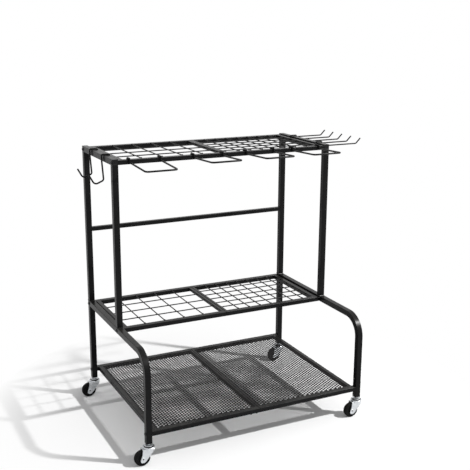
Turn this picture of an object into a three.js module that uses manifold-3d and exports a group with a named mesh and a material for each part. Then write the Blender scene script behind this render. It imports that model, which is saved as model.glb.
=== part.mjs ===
// A freestanding garden tool rack on four swivel casters, in millimetres.
// X runs along the front to the right, Y runs to the back and Z runs up from the floor.
import * as THREE from "three";
import { mergeVertices } from "three/addons/utils/BufferGeometryUtils.js";
import Module from "manifold-3d";

const wasm = await Module();
wasm.setup();

// Driving sizes of the whole rack
const rackWidth = 814.5;
const upperDepth = 332;
const lowerDepth = 591;
const rackHeight = 949;
const middleHeight = 378;
const legFootHeight = 75;
const crossRailTop = 656;

// Square tube of the side frames
const tubeSide = 20;
const tubeWall = 1.2;
const tubeBendRadius = 70;
const weldGap = 0.2;

// Bars of the shelf frames
const barWidth = 15;
const barHeight = 15;
const barWall = 1;
const railDepth = 20;
const gridCentreBarWidth = 11;
const gridCentreBarHeight = 11;
const lowerCentreBarWidth = 8;
const frameSideGap = 6.5;
const frameSeam = 0.6;
const topFrameDrop = 3.7;
const middleFrameDrop = 4;

// Wires of the upper and middle grids
const wireDiameter = 4;
const wireSink = 1;
const wireWeldDepth = 1.2;
const wireEndGap = 0.3;
const leftWirePitch = 72.5;
const rightWirePitch = 44.6;
const leftGridRows = 4;
const rightGridRows = 6;

// Perforated sheets of the lower shelf
const sheetThickness = 1.2;
const sheetDrop = 1.5;
const sheetEdgeGap = 0.3;
const sheetColumns = 5;
const sheetRows = 7;
const openingShare = 0.61;

// Bolts that hold the shelf frames between the side frames
const boltDiameter = 6;
const boltHoleDiameter = 6.8;
const boltHeadDiameter = 12;
const boltHeadHeight = 3.4;
const boltReach = 7;
const boltSeatGap = 0.1;
const boltSocketWidth = 4;
const boltSocketDepth = 1.8;

// Swivel casters
const wheelCrownGap = 2.93;
const wheelWidth = 16.5;
const treadRounding = 4;
const hubDiameter = 30;
const hubRecess = 2.5;
const casterTrail = 22.8;
const axleDiameter = 5;
const axleClearance = 0.3;
const axleHeadDiameter = 9;
const axleHeadHeight = 1.4;
const forkPlate = 2;
const forkSideClearance = 1.6;
const forkCrownLead = 18;
const forkCrownTrail = 24;
const forkCrownLip = 3;
const forkFootRadius = 9.3;
const forkFootDrop = 4;
const racewayDiameter = 40;
const racewayHeight = 10.5;
const racewayGap = 6;
const racewayNeckDiameter = 28;
const racewayNeckHeight = 1.8;
const racewayTopDiameter = 24;
const racewayRounding = 2;
const stemDiameter = 8;
const stemClearance = 0.3;
const stemHeadDiameter = 15;
const stemHeadHeight = 2;
const nutDiameter = 15;
const nutHeight = 4.6;
const plugLength = 26;
const plugClearance = 0.3;
const plugBoltGap = 2.5;

// Hooks of bent rod
const loopRod = 5.5;
const loopWidth = 107;
const loopReach = 147;
const loopClipRadius = 4.5;
const loopCornerRadius = 11;
const loopTailLength = 11;
const loopArmDrop = 9;
const loopTipRise = 6;
const loopDroop = 7;
const farLeftLoopInset = 58.25;
const leftLoopAt = -123.5;
const rightLoopAt = 73;
const farRightLoopInset = 151.85;
const sideRod = 5;
const sideHookClipRadius = 4;
const sideHookFootRadius = 8;
const sideHookTipRadius = 13;
const sideHookDrop = 83;
const sideHookLean = 4.5;
const sideHookStandOff = 1.5;
const sideHookSag = 13;
const sideHookReach = 31;
const sideHookTipReach = 50;
const sideHookTipHeight = 21;
const sideHookTail = 13;
const rearSideHookAt = -105;
const frontSideHookAt = -235;
const prongCount = 5;
const prongBackInset = 64;
const prongFrontInset = 24;
const prongReach = 131;
const prongTipRun = 19;
const prongTipRise = 19;
const prongBendRadius = 8;
const prongWeldDepth = 1;
const prongBarOverhang = 8;
const prongBarDrop = 8;
const prongHangerInset = 30;
const prongTail = 13;
const hookGap = 0.4;

// Fineness of the round forms
const wireSides = 6;
const rodSides = 6;
const boltSides = 8;
const hexSides = 6;
const wheelSides = 18;
const racewaySides = 12;
const footSteps = 5;
const bendSteps = 3;
const tubeBendSteps = 6;
const cutOverrun = 2;
const mergeTolerance = 0.0001;

// Places that follow from the sizes
const sideOuter = rackWidth / 2;
const sideInner = sideOuter - tubeSide;
const sideCentre = sideOuter - tubeSide / 2;
const frameOuter = sideInner - frameSideGap;
const topFrameTop = rackHeight - topFrameDrop;
const middleFrameTop = middleHeight - middleFrameDrop;
const backCentre = -tubeSide / 2;
const upperFrontCentre = -upperDepth + tubeSide / 2;
const lowerFrontCentre = -lowerDepth + tubeSide / 2;
const railBack = -railDepth;
const gridFront = -upperDepth + railDepth;
const lowerBoltHeight = legFootHeight + plugLength + plugBoltGap + boltDiameter / 2;
const lowerFrameTop = lowerBoltHeight + barHeight / 2;
const forkCrownTop = legFootHeight - racewayGap - racewayHeight;
const wheelTop = forkCrownTop - forkPlate - wheelCrownGap;
const wheelDiameter = wheelTop / Math.cos(Math.PI / wheelSides);
const axleHeight = wheelTop / 2;
const farLeftLoopAt = -sideOuter + farLeftLoopInset;
const farRightLoopAt = sideOuter - farRightLoopInset;
const firstProngAt = -prongBackInset;
const lastProngAt = -upperDepth + prongFrontInset;
const prongPitch = (firstProngAt - lastProngAt) / (prongCount - 1);

// Materials
function coated(colour, roughness) {
  return new THREE.MeshStandardMaterial({ color: colour, roughness, metalness: 0.4 });
}

const blackCoat = coated(0x1b1c1d, 0.42);
const sheetCoat = coated(0x222325, 0.5);
const rodCoat = coated(0x161718, 0.35);
const boltBlack = coated(0x232425, 0.38);
const zinc = new THREE.MeshStandardMaterial({ color: 0xb9bcbe, roughness: 0.32, metalness: 0.9 });
const wheelRubber = new THREE.MeshStandardMaterial({ color: 0x17181a, roughness: 0.6, metalness: 0 });

// Solids: closed meshes that can be joined and cut
function solidFrom(geometry) {
  const bare = geometry.index ? geometry.toNonIndexed() : geometry.clone();
  bare.deleteAttribute("normal");
  bare.deleteAttribute("uv");
  const merged = mergeVertices(bare, mergeTolerance);
  return new wasm.Manifold(
    new wasm.Mesh({
      numProp: 3,
      vertProperties: new Float32Array(merged.attributes.position.array),
      triVerts: new Uint32Array(merged.index.array),
    }),
  );
}

function geometryFrom(solid) {
  const mesh = solid.getMesh();
  const geometry = new THREE.BufferGeometry();
  geometry.setAttribute("position", new THREE.BufferAttribute(mesh.vertProperties.slice(), 3));
  geometry.setIndex(new THREE.BufferAttribute(mesh.triVerts.slice(), 1));
  const loose = geometry.toNonIndexed();
  loose.computeVertexNormals();
  return loose;
}

function joined(solids) {
  return solids.reduce((whole, piece) => whole.add(piece));
}

function cutBy(solid, tools) {
  return tools.reduce((whole, tool) => whole.subtract(tool), solid);
}

// A box between two corners, each given as [x, y, z]
function blockBetween(low, high) {
  const [width, depth, height] = high.map((value, i) => value - low[i]);
  const geometry = new THREE.BoxGeometry(width, depth, height);
  geometry.translate(low[0] + width / 2, low[1] + depth / 2, low[2] + height / 2);
  return solidFrom(geometry);
}

// A round bar between two points
function roundBar(from, to, diameter, sides) {
  const start = new THREE.Vector3(...from);
  const end = new THREE.Vector3(...to);
  const geometry = new THREE.CylinderGeometry(diameter / 2, diameter / 2, start.distanceTo(end), sides);
  geometry.rotateY(Math.PI / sides);
  const along = end.clone().sub(start).normalize();
  const turn = new THREE.Quaternion().setFromUnitVectors(new THREE.Vector3(0, 1, 0), along);
  geometry.applyQuaternion(turn);
  const middle = start.add(end).multiplyScalar(0.5);
  geometry.translate(middle.x, middle.y, middle.z);
  return solidFrom(geometry);
}

// A tool for a round hole: its flats, not its corners, lie on the diameter
function roundHole(from, to, diameter) {
  return roundBar(from, to, diameter / Math.cos(Math.PI / boltSides), boltSides);
}

// The centre line of a bent rod or tube: straight runs joined by round bends
class BentLine extends THREE.Curve {
  constructor(corners, radii, steps) {
    super();
    this.stations = [];
    this.headings = [];
    corners.forEach((corner, i) => this.addCorner(corners, radii[i] ?? 0, i, steps));
  }

  addCorner(corners, radius, i, steps) {
    const corner = corners[i];
    const before = corners[i - 1];
    const after = corners[i + 1];
    if (!before || !after) {
      const heading = before ? corner.clone().sub(before) : after.clone().sub(corner);
      this.stations.push(corner.clone());
      this.headings.push(heading.normalize());
      return;
    }
    const arriving = corner.clone().sub(before).normalize();
    const leaving = after.clone().sub(corner).normalize();
    const angle = arriving.angleTo(leaving);
    const axis = arriving.clone().cross(leaving).normalize();
    const inward = axis.clone().cross(arriving);
    const start = corner.clone().addScaledVector(arriving, -radius * Math.tan(angle / 2));
    const centre = start.clone().addScaledVector(inward, radius);
    for (let step = 0; step <= steps; step += 1) {
      const turned = (angle * step) / steps;
      this.stations.push(start.clone().sub(centre).applyAxisAngle(axis, turned).add(centre));
      this.headings.push(arriving.clone().applyAxisAngle(axis, turned));
    }
  }

  at(list, share) {
    return list[Math.round(share * (list.length - 1))].clone();
  }

  getPointAt(share) {
    return this.at(this.stations, share);
  }

  getTangentAt(share) {
    return this.at(this.headings, share);
  }
}

function sweptAlong(section, line) {
  const steps = line.stations.length - 1;
  return new THREE.ExtrudeGeometry(section, { extrudePath: line, steps, curveSegments: 1 });
}

function roundSection(diameter, sides) {
  const points = [];
  for (let i = 0; i < sides; i += 1) {
    const angle = ((i + 0.5) * 2 * Math.PI) / sides;
    points.push(new THREE.Vector2(Math.cos(angle), Math.sin(angle)).multiplyScalar(diameter / 2));
  }
  return new THREE.Shape(points);
}

function squareRing(side, wall) {
  const square = (half) => [
    new THREE.Vector2(-half, -half),
    new THREE.Vector2(half, -half),
    new THREE.Vector2(half, half),
    new THREE.Vector2(-half, half),
  ];
  const shape = new THREE.Shape(square(side / 2));
  shape.holes.push(new THREE.Path(square(side / 2 - wall)));
  return shape;
}

// A rod bent through corners, each [x, y, z], with one bend radius for each corner
function bentRod(corners, radii, diameter) {
  const points = corners.map((corner) => new THREE.Vector3(...corner));
  const line = new BentLine(points, radii, bendSteps);
  return sweptAlong(roundSection(diameter, rodSides), line);
}

// A straight square tube between two points on its centre line
function straightTube(from, to) {
  const line = new BentLine([new THREE.Vector3(...from), new THREE.Vector3(...to)], [], 1);
  return solidFrom(sweptAlong(squareRing(tubeSide, tubeWall), line));
}

const rack = new THREE.Group();

function addPiece(name, shape, material) {
  const geometry = shape.isBufferGeometry ? shape : geometryFrom(shape);
  const mesh = new THREE.Mesh(geometry, material);
  mesh.name = name;
  rack.add(mesh);
  return mesh;
}

// Bolts through the side frames: side is -1 on the left and 1 on the right
const boltRows = [
  { level: "top", height: topFrameTop - barHeight / 2, front: upperFrontCentre },
  { level: "middle", height: middleFrameTop - barHeight / 2, front: upperFrontCentre },
  { level: "lower", height: lowerBoltHeight, front: lowerFrontCentre },
];

function boltHole(side, y, z) {
  const inner = side * (frameOuter - barWidth / 2);
  const outer = side * (sideOuter + cutOverrun);
  return roundHole([inner, y, z], [outer, y, z], boltHoleDiameter);
}

function boltHoles(side) {
  return boltRows.flatMap(({ height, front }) => [backCentre, front].map((y) => boltHole(side, y, height)));
}

function panBolt(side, y, z) {
  const seat = sideOuter + boltSeatGap;
  const crown = boltHeadHeight / 3;
  const profile = [
    new THREE.Vector2(0, 0),
    new THREE.Vector2(boltHeadDiameter / 2, 0),
    new THREE.Vector2(boltHeadDiameter / 2, crown),
    new THREE.Vector2(boltHeadDiameter / 3, boltHeadHeight),
    new THREE.Vector2(0, boltHeadHeight),
  ];
  const head = new THREE.LatheGeometry(profile, boltSides);
  head.rotateZ((-side * Math.PI) / 2);
  head.translate(side * seat, y, z);
  const tip = frameOuter - boltReach;
  const shank = roundBar([side * tip, y, z], [side * (seat + crown), y, z], boltDiameter, boltSides);
  const face = seat + boltHeadHeight;
  const socket = roundBar(
    [side * (face - boltSocketDepth), y, z],
    [side * (face + cutOverrun), y, z],
    boltSocketWidth,
    hexSides,
  );
  return solidFrom(head).add(shank).subtract(socket);
}

function addBolts() {
  for (const { level, height, front } of boltRows) {
    for (const [sideName, side] of [["left", -1], ["right", 1]]) {
      addPiece("back_" + sideName + "_" + level + "_bolt", panBolt(side, backCentre, height), boltBlack);
      addPiece("front_" + sideName + "_" + level + "_bolt", panBolt(side, front, height), boltBlack);
    }
  }
}

// Side frames: a bent lower tube, a back leg, two posts and a top rail on each side
function sideTube(side) {
  const x = side * sideCentre;
  const z = middleHeight - tubeSide / 2;
  const corners = [
    new THREE.Vector3(x, 0, z),
    new THREE.Vector3(x, lowerFrontCentre, z),
    new THREE.Vector3(x, lowerFrontCentre, legFootHeight),
  ];
  const line = new BentLine(corners, [0, tubeBendRadius, 0], tubeBendSteps);
  return solidFrom(sweptAlong(squareRing(tubeSide, tubeWall), line));
}

function backLeg(side) {
  const x = side * sideCentre;
  const top = middleHeight - tubeSide - weldGap;
  return straightTube([x, backCentre, legFootHeight], [x, backCentre, top]);
}

function post(side, y) {
  const x = side * sideCentre;
  return straightTube([x, y, middleHeight + weldGap], [x, y, rackHeight - tubeSide - weldGap]);
}

function topRail(side) {
  const x = side * sideCentre;
  const z = rackHeight - tubeSide / 2;
  return straightTube([x, -upperDepth, z], [x, 0, z]);
}

function backCrossRail() {
  const low = [-sideInner + weldGap, railBack, crossRailTop - barHeight];
  const high = [sideInner - weldGap, railBack + barWidth, crossRailTop];
  const tunnelLow = [low[0] - cutOverrun, low[1] + barWall, low[2] + barWall];
  const tunnelHigh = [high[0] + cutOverrun, high[1] - barWall, high[2] - barWall];
  return blockBetween(low, high).subtract(blockBetween(tunnelLow, tunnelHigh));
}

function addSideFrames() {
  for (const [sideName, side] of [["left", -1], ["right", 1]]) {
    const holes = boltHoles(side);
    addPiece(sideName + "_side_tube", cutBy(sideTube(side), holes), blackCoat);
    addPiece(sideName + "_back_leg", cutBy(backLeg(side), holes), blackCoat);
    addPiece(sideName + "_front_post", post(side, upperFrontCentre), blackCoat);
    addPiece(sideName + "_back_post", post(side, backCentre), blackCoat);
    addPiece(sideName + "_top_rail", cutBy(topRail(side), holes), blackCoat);
  }
  addPiece("back_cross_rail", backCrossRail(), blackCoat);
}

// The bore of a hollow bar, which runs past its two ends in Y by a given length
function boreOf([from, to], overrun) {
  const low = [from[0] + barWall, from[1] - overrun, from[2] + barWall];
  const high = [to[0] - barWall, to[1] + overrun, to[2] - barWall];
  return blockBetween(low, high);
}

// A welded frame of hollow bars for one half of a shelf. Its rails reach the side frame, its side bar doesn't
function shelfFrame(side, front, top, centreBar) {
  const across = (near, far) => (side > 0 ? [near, far] : [-far, -near]);
  const [low, high] = across(frameSeam / 2, sideInner - weldGap);
  const [outerLow, outerHigh] = across(frameOuter - barWidth, frameOuter);
  const [innerLow, innerHigh] = across(frameSeam / 2, frameSeam / 2 + centreBar.width);
  const floor = top - barHeight;
  const railFace = front + railDepth;
  const rails = [
    [[low, front, floor], [high, railFace, top]],
    [[low, railBack, floor], [high, 0, top]],
  ];
  const bars = [
    [[outerLow, railFace, floor], [outerHigh, railBack, top]],
    [[innerLow, railFace, top - centreBar.height], [innerHigh, railBack, top]],
  ];
  const railBores = rails.map((rail) => boreOf(rail, -barWall));
  const barBores = bars.map((bar) => boreOf(bar, barWall + cutOverrun));
  const outside = joined([...rails, ...bars].map(([from, to]) => blockBetween(from, to)));
  return cutBy(outside, [joined([...railBores, ...barBores]), ...boltHoles(side)]);
}

// The clear window inside a shelf frame, from the centre bar outwards
function frameWindow(side, centreBarWidth) {
  const near = frameSeam / 2 + centreBarWidth;
  const far = frameOuter - barWidth;
  return side > 0 ? [near, far] : [-far, -near];
}

// One welded grid: wires to the back lie on wires across
function gridWires(side, top, pitch, rows) {
  const [left, right] = frameWindow(side, gridCentreBarWidth);
  const start = side > 0 ? left : right;
  const upper = top - wireSink;
  const lower = upper - wireDiameter + wireWeldDepth;
  const wires = [];
  const columns = Math.floor((right - left - pitch / 2) / pitch);
  for (let i = 1; i <= columns; i += 1) {
    const x = start + side * pitch * i;
    wires.push(
      roundBar([x, gridFront + wireEndGap, upper], [x, railBack - wireEndGap, upper], wireDiameter, wireSides),
    );
  }
  for (let i = 1; i < rows; i += 1) {
    const y = railBack + ((gridFront - railBack) * i) / rows;
    wires.push(roundBar([left + wireEndGap, y, lower], [right - wireEndGap, y, lower], wireDiameter, wireSides));
  }
  return joined(wires);
}

function addGrids() {
  const centreBar = { width: gridCentreBarWidth, height: gridCentreBarHeight };
  for (const [levelName, top] of [["top", topFrameTop], ["middle", middleFrameTop]]) {
    addPiece(levelName + "_left_grid_frame", shelfFrame(-1, -upperDepth, top, centreBar), blackCoat);
    addPiece(levelName + "_right_grid_frame", shelfFrame(1, -upperDepth, top, centreBar), blackCoat);
    addPiece(levelName + "_left_grid_wires", gridWires(-1, top, leftWirePitch, leftGridRows), rodCoat);
    addPiece(levelName + "_right_grid_wires", gridWires(1, top, rightWirePitch, rightGridRows), rodCoat);
  }
}

// A plain grid of openings that stands for the fine perforation
function sheetOpenings([left, front, floor], [right, back, top]) {
  const across = (right - left) / sheetColumns;
  const along = (back - front) / sheetRows;
  const halfWidth = (across * openingShare) / 2;
  const halfDepth = (along * openingShare) / 2;
  const openings = [];
  for (let row = 0.5; row < sheetRows; row += 1) {
    for (let column = 0.5; column < sheetColumns; column += 1) {
      const x = left + column * across;
      const y = front + row * along;
      const low = [x - halfWidth, y - halfDepth, floor - cutOverrun];
      const high = [x + halfWidth, y + halfDepth, top + cutOverrun];
      openings.push(blockBetween(low, high));
    }
  }
  return openings;
}

function perforatedSheet(side) {
  const [left, right] = frameWindow(side, lowerCentreBarWidth);
  const top = lowerFrameTop - sheetDrop;
  const low = [left + sheetEdgeGap, -lowerDepth + railDepth + sheetEdgeGap, top - sheetThickness];
  const high = [right - sheetEdgeGap, railBack - sheetEdgeGap, top];
  return cutBy(blockBetween(low, high), sheetOpenings(low, high));
}

function addLowerShelf() {
  const centreBar = { width: lowerCentreBarWidth, height: barHeight };
  addPiece("lower_left_shelf_frame", shelfFrame(-1, -lowerDepth, lowerFrameTop, centreBar), blackCoat);
  addPiece("lower_right_shelf_frame", shelfFrame(1, -lowerDepth, lowerFrameTop, centreBar), blackCoat);
  addPiece("lower_left_perforated_sheet", perforatedSheet(-1), sheetCoat);
  addPiece("lower_right_perforated_sheet", perforatedSheet(1), sheetCoat);
}

// Casters, drawn about the leg's centre line, with the wheel trailing to the left
function turned(profile, sides) {
  const geometry = new THREE.LatheGeometry(profile.map(([r, z]) => new THREE.Vector2(r, z)), sides);
  geometry.rotateX(Math.PI / 2);
  return geometry;
}

function casterStem() {
  const racewayTop = forkCrownTop + racewayHeight;
  const nutFloor = legFootHeight - nutHeight;
  const headTop = forkCrownTop - forkPlate - stemClearance;
  const shaft = turned(
    [
      [0, headTop - stemHeadHeight],
      [stemHeadDiameter / 2 - stemHeadHeight / 2, headTop - stemHeadHeight],
      [stemHeadDiameter / 2, headTop],
      [stemDiameter / 2, headTop],
      [stemDiameter / 2, legFootHeight + plugLength / 2],
      [0, legFootHeight + plugLength / 2],
    ],
    boltSides,
  );
  const nutStart = Math.max(nutFloor, racewayTop + stemClearance);
  const nut = roundBar([0, 0, nutStart], [0, 0, legFootHeight], nutDiameter, hexSides);
  const plugHalf = tubeSide / 2 - tubeWall - plugClearance;
  const plug = blockBetween(
    [-plugHalf, -plugHalf, legFootHeight - weldGap],
    [plugHalf, plugHalf, legFootHeight + plugLength],
  );
  const collar = blockBetween(
    [-tubeSide / 2, -tubeSide / 2, legFootHeight - weldGap - tubeWall],
    [tubeSide / 2, tubeSide / 2, legFootHeight - weldGap],
  );
  return joined([solidFrom(shaft), nut, plug, collar]);
}

// A leg of the fork: a straight leading edge that meets a round foot about the axle
function forkLegOutline() {
  const crownFloor = forkCrownTop - forkPlate;
  const footHeight = axleHeight - forkFootDrop;
  const leadWidth = forkCrownLead + casterTrail;
  const leadHeight = crownFloor - footHeight;
  const reach = Math.hypot(leadWidth, leadHeight);
  const meeting = Math.atan2(leadHeight, leadWidth) - Math.acos(forkFootRadius / reach);
  const outline = new THREE.Shape();
  outline.moveTo(forkCrownLead, forkCrownTop);
  outline.lineTo(-forkCrownTrail, forkCrownTop);
  outline.lineTo(-forkCrownTrail, crownFloor - forkCrownLip);
  outline.lineTo(-casterTrail - forkFootRadius, footHeight);
  outline.absarc(-casterTrail, footHeight, forkFootRadius, Math.PI, 2 * Math.PI + meeting, false);
  outline.lineTo(forkCrownLead, crownFloor);
  outline.closePath();
  return outline;
}

function racewayProfile() {
  const rim = racewayDiameter / 2;
  const neck = racewayNeckDiameter / 2;
  const crest = racewayTopDiameter / 2;
  const start = forkCrownTop - forkPlate / 2;
  const rimFloor = forkCrownTop + racewayNeckHeight;
  const top = forkCrownTop + racewayHeight;
  return [
    [0, start],
    [neck, start],
    [neck, rimFloor],
    [rim, rimFloor],
    [rim, rimFloor + racewayRounding],
    [(rim + crest) / 2, top - racewayRounding],
    [crest, top],
    [0, top],
  ];
}

function casterFork() {
  const legGap = wheelWidth / 2 + forkSideClearance;
  const legs = [-1, 1].map((way) => {
    const leg = new THREE.ExtrudeGeometry(forkLegOutline(), {
      depth: forkPlate,
      bevelEnabled: false,
      curveSegments: footSteps,
    });
    leg.rotateX(Math.PI / 2);
    leg.translate(0, way > 0 ? legGap + forkPlate : -legGap, 0);
    return solidFrom(leg);
  });
  const crown = blockBetween(
    [-forkCrownTrail, -legGap - forkPlate, forkCrownTop - forkPlate],
    [forkCrownLead, legGap + forkPlate, forkCrownTop],
  );
  const raceway = turned(racewayProfile(), racewaySides);
  const stemHole = roundHole(
    [0, 0, forkCrownTop - racewayHeight],
    [0, 0, forkCrownTop + 2 * racewayHeight],
    stemDiameter + 2 * stemClearance,
  );
  const axleHole = roundHole(
    [-casterTrail, -wheelWidth, axleHeight],
    [-casterTrail, wheelWidth, axleHeight],
    axleDiameter + 2 * axleClearance,
  );
  return cutBy(joined([...legs, crown, solidFrom(raceway)]), [stemHole, axleHole]);
}

function casterAxle() {
  const legFace = wheelWidth / 2 + forkSideClearance + forkPlate + axleClearance;
  const headFace = legFace + axleHeadHeight;
  const head = axleHeadDiameter / 2;
  const geometry = turned(
    [
      [0, -headFace],
      [head - axleHeadHeight / 2, -headFace],
      [head, -legFace],
      [axleDiameter / 2, -legFace],
      [axleDiameter / 2, legFace],
      [head, legFace],
      [head - axleHeadHeight / 2, headFace],
      [0, headFace],
    ],
    boltSides,
  );
  geometry.rotateX(Math.PI / 2);
  geometry.translate(-casterTrail, 0, axleHeight);
  return geometry;
}

function casterWheel() {
  const half = wheelWidth / 2;
  const rim = wheelDiameter / 2;
  const bore = (axleDiameter / 2 + axleClearance) / Math.cos(Math.PI / wheelSides);
  const profile = [
    [bore, -half + hubRecess],
    [hubDiameter / 2, -half + hubRecess],
    [hubDiameter / 2 + hubRecess / 2, -half],
    [rim - treadRounding, -half],
    [rim, -half + treadRounding],
  ];
  const other = profile.map(([r, y]) => [r, -y]).reverse();
  const geometry = turned([...profile, ...other, profile[0]], wheelSides);
  geometry.rotateX(Math.PI / 2);
  geometry.rotateY(Math.PI / wheelSides);
  geometry.translate(-casterTrail, 0, axleHeight);
  return geometry;
}

function addCasters() {
  const places = [
    ["front_left", -sideCentre, lowerFrontCentre],
    ["front_right", sideCentre, lowerFrontCentre],
    ["back_left", -sideCentre, backCentre],
    ["back_right", sideCentre, backCentre],
  ];
  for (const [placeName, x, y] of places) {
    const pieces = [
      addPiece(placeName + "_caster_stem", casterStem(), zinc),
      addPiece(placeName + "_caster_fork", casterFork(), zinc),
      addPiece(placeName + "_caster_axle", casterAxle(), zinc),
      addPiece(placeName + "_caster_wheel", casterWheel(), wheelRubber),
    ];
    pieces.forEach((piece) => piece.position.set(x, y, 0));
  }
}

// A loop of rod that clips over the front rail and reaches forward
function loopHook(x, tipRise) {
  const reach = loopRod / 2 + hookGap;
  const behind = gridFront + reach;
  const ahead = -upperDepth - reach;
  const over = topFrameTop + reach;
  const arm = topFrameTop - loopArmDrop;
  const tip = -upperDepth - loopReach;
  const clip = (at) => [
    [at, behind, over - loopTailLength],
    [at, behind, over],
    [at, ahead, over],
    [at, ahead, arm],
    [at, tip, arm + tipRise],
  ];
  const left = clip(x);
  const right = clip(x + loopWidth).reverse();
  const clipRadii = [0, loopClipRadius, loopClipRadius, loopClipRadius, loopCornerRadius];
  return bentRod([...left, ...right], [...clipRadii, ...[...clipRadii].reverse()], loopRod);
}

// A hook that clips over the left rail and turns up outside it
function sideHook(y) {
  const reach = sideRod / 2 + hookGap;
  const inside = -sideInner + reach;
  const outside = -sideOuter - sideRod / 2 - sideHookStandOff;
  const over = rackHeight + reach;
  const foot = rackHeight - sideHookDrop;
  const footX = outside + sideHookLean;
  const corners = [
    [inside, y, over - sideHookTail],
    [inside, y, over],
    [outside, y, over],
    [outside, y, rackHeight - tubeSide],
    [footX, y, foot],
    [footX - sideHookReach, y, foot - sideHookSag],
    [footX - sideHookTipReach, y, foot + sideHookTipHeight],
  ];
  const radii = [
    0, sideHookClipRadius, sideHookClipRadius, sideHookTipRadius, sideHookFootRadius, sideHookTipRadius, 0,
  ];
  return bentRod(corners, radii, sideRod);
}

// A bar of five prongs that hangs from the right rail by two clips
function fiveProngHook() {
  const reach = sideRod / 2 + hookGap;
  const barX = sideOuter + reach;
  const barZ = rackHeight - prongBarDrop;
  const pieces = [];
  for (let i = 0; i < prongCount; i += 1) {
    const y = firstProngAt - prongPitch * i;
    const bend = sideOuter + prongReach;
    const corners = [
      [barX, y, barZ],
      [bend, y, barZ],
      [bend + prongTipRun, y, barZ + prongTipRise],
    ];
    pieces.push(solidFrom(bentRod(corners, [0, prongBendRadius, 0], sideRod)));
  }
  pieces.push(
    roundBar(
      [barX, lastProngAt - prongBarOverhang, barZ],
      [barX, firstProngAt + prongBarOverhang, barZ],
      sideRod,
      rodSides,
    ),
  );
  for (const y of [firstProngAt - prongHangerInset, lastProngAt + prongHangerInset]) {
    const inside = sideInner - reach;
    const over = rackHeight + reach;
    const corners = [
      [inside, y, over - prongTail],
      [inside, y, over],
      [barX, y, over],
      [barX, y, barZ - prongWeldDepth],
    ];
    const radii = [0, sideHookClipRadius, sideHookClipRadius, 0];
    pieces.push(solidFrom(bentRod(corners, radii, sideRod)));
  }
  return joined(pieces);
}

function addHooks() {
  addPiece("far_left_loop_hook", loopHook(farLeftLoopAt, -loopDroop), rodCoat);
  addPiece("left_loop_hook", loopHook(leftLoopAt, loopTipRise), rodCoat);
  addPiece("right_loop_hook", loopHook(rightLoopAt, loopTipRise), rodCoat);
  addPiece("far_right_loop_hook", loopHook(farRightLoopAt, loopTipRise), rodCoat);
  addPiece("rear_side_hook", sideHook(rearSideHookAt), rodCoat);
  addPiece("front_side_hook", sideHook(frontSideHookAt), rodCoat);
  addPiece("five_prong_hook", fiveProngHook(), rodCoat);
}

addSideFrames();
addGrids();
addLowerShelf();
addBolts();
addCasters();
addHooks();

// The origin lies on the floor, under the middle of everything
rack.updateMatrixWorld(true);
const reachBox = new THREE.Box3().setFromObject(rack, true);
const middle = reachBox.getCenter(new THREE.Vector3());
rack.position.set(-middle.x, -middle.y, -reachBox.min.z);

export default rack;
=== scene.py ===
import bpy
import math
from collections import Counter
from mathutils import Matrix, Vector


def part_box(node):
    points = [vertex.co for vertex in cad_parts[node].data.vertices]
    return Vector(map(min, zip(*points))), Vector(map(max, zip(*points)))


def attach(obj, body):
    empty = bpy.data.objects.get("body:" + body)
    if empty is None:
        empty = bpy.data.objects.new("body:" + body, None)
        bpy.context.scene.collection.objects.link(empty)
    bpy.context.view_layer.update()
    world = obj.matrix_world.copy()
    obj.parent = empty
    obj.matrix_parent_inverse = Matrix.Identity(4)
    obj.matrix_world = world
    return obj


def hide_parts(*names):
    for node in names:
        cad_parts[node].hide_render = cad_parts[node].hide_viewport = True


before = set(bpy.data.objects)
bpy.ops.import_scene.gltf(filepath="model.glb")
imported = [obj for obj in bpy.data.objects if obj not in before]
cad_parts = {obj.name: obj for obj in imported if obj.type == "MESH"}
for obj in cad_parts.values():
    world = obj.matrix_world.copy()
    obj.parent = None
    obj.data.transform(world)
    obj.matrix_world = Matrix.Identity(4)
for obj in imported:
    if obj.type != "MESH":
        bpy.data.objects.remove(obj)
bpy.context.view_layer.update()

# All sizes are in millimetres from the middle of the rack's back, at floor level: x to the right,
# y to the back and z up, so the front of the rack has a negative y.
leg_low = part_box("left_back_leg")[0]
leg_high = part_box("right_back_leg")[1]
back_middle = Vector(((leg_low.x + leg_high.x) / 2, leg_high.y, 0))

half_width = 407.25
upper_depth = 332
lower_depth = 591
rack_top = 949
middle_top = 378
leg_foot = 75

tube = 20
half_tube = tube / 2
tube_wall = 1.2
tube_rounding = 1.3
side_centre = half_width - half_tube
side_inner = half_width - tube
side_bend = 70
cap_lip = 1.5
cap_thickness = 1.6

bar = 15
bar_rounding = 1.2
bar_overlap = 1
rail_depth = 20
half_rail = rail_depth / 2
grid_front = -upper_depth + rail_depth
frame_outer = 380.7
frame_gap = 0.2
shelf_tops = {"top": 945.3, "middle": 374, "lower": 114}
shelf_depths = {"top": upper_depth, "middle": upper_depth, "lower": lower_depth}

# Two centre bars stand side by side, each this far from the middle, with a width and a height.
centre_gap = 0.3
centre_bars = {"top": (11, 11), "middle": (11, 11), "lower": (8, 15)}
centre_rounding = 2.4

cross_rail_top = 656
cross_rail_back = -5
cross_rail_rounding = 1.1

wire_diameter = 4
wire_drop = 1.05
wire_overlap = 0.9
nugget_drop = 1.9

hole_pitch = 12.0
column_pitch = 9.66
hole_diameter = 7.6
sheet_thickness = 0.5
sheet_gap = 0.3
sheet_drop = 1.55
same_point = 0.02
fine_edge = 0.4

SIDES = (("left", -1), ("right", 1))
BOTH_WAYS = (1, -1)


def mm(x, y, z):
    """A step given in millimetres."""
    return Vector((x, y, z)) / 1000


def at(x, y, z):
    """A place given in millimetres from the middle of the rack's back."""
    return back_middle + mm(x, y, z)


# Modelling by operators


def open_all():
    """Opens the active piece for editing, with all of it selected."""
    bpy.ops.object.mode_set(mode="EDIT")
    bpy.ops.mesh.select_all(action="SELECT")


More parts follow.
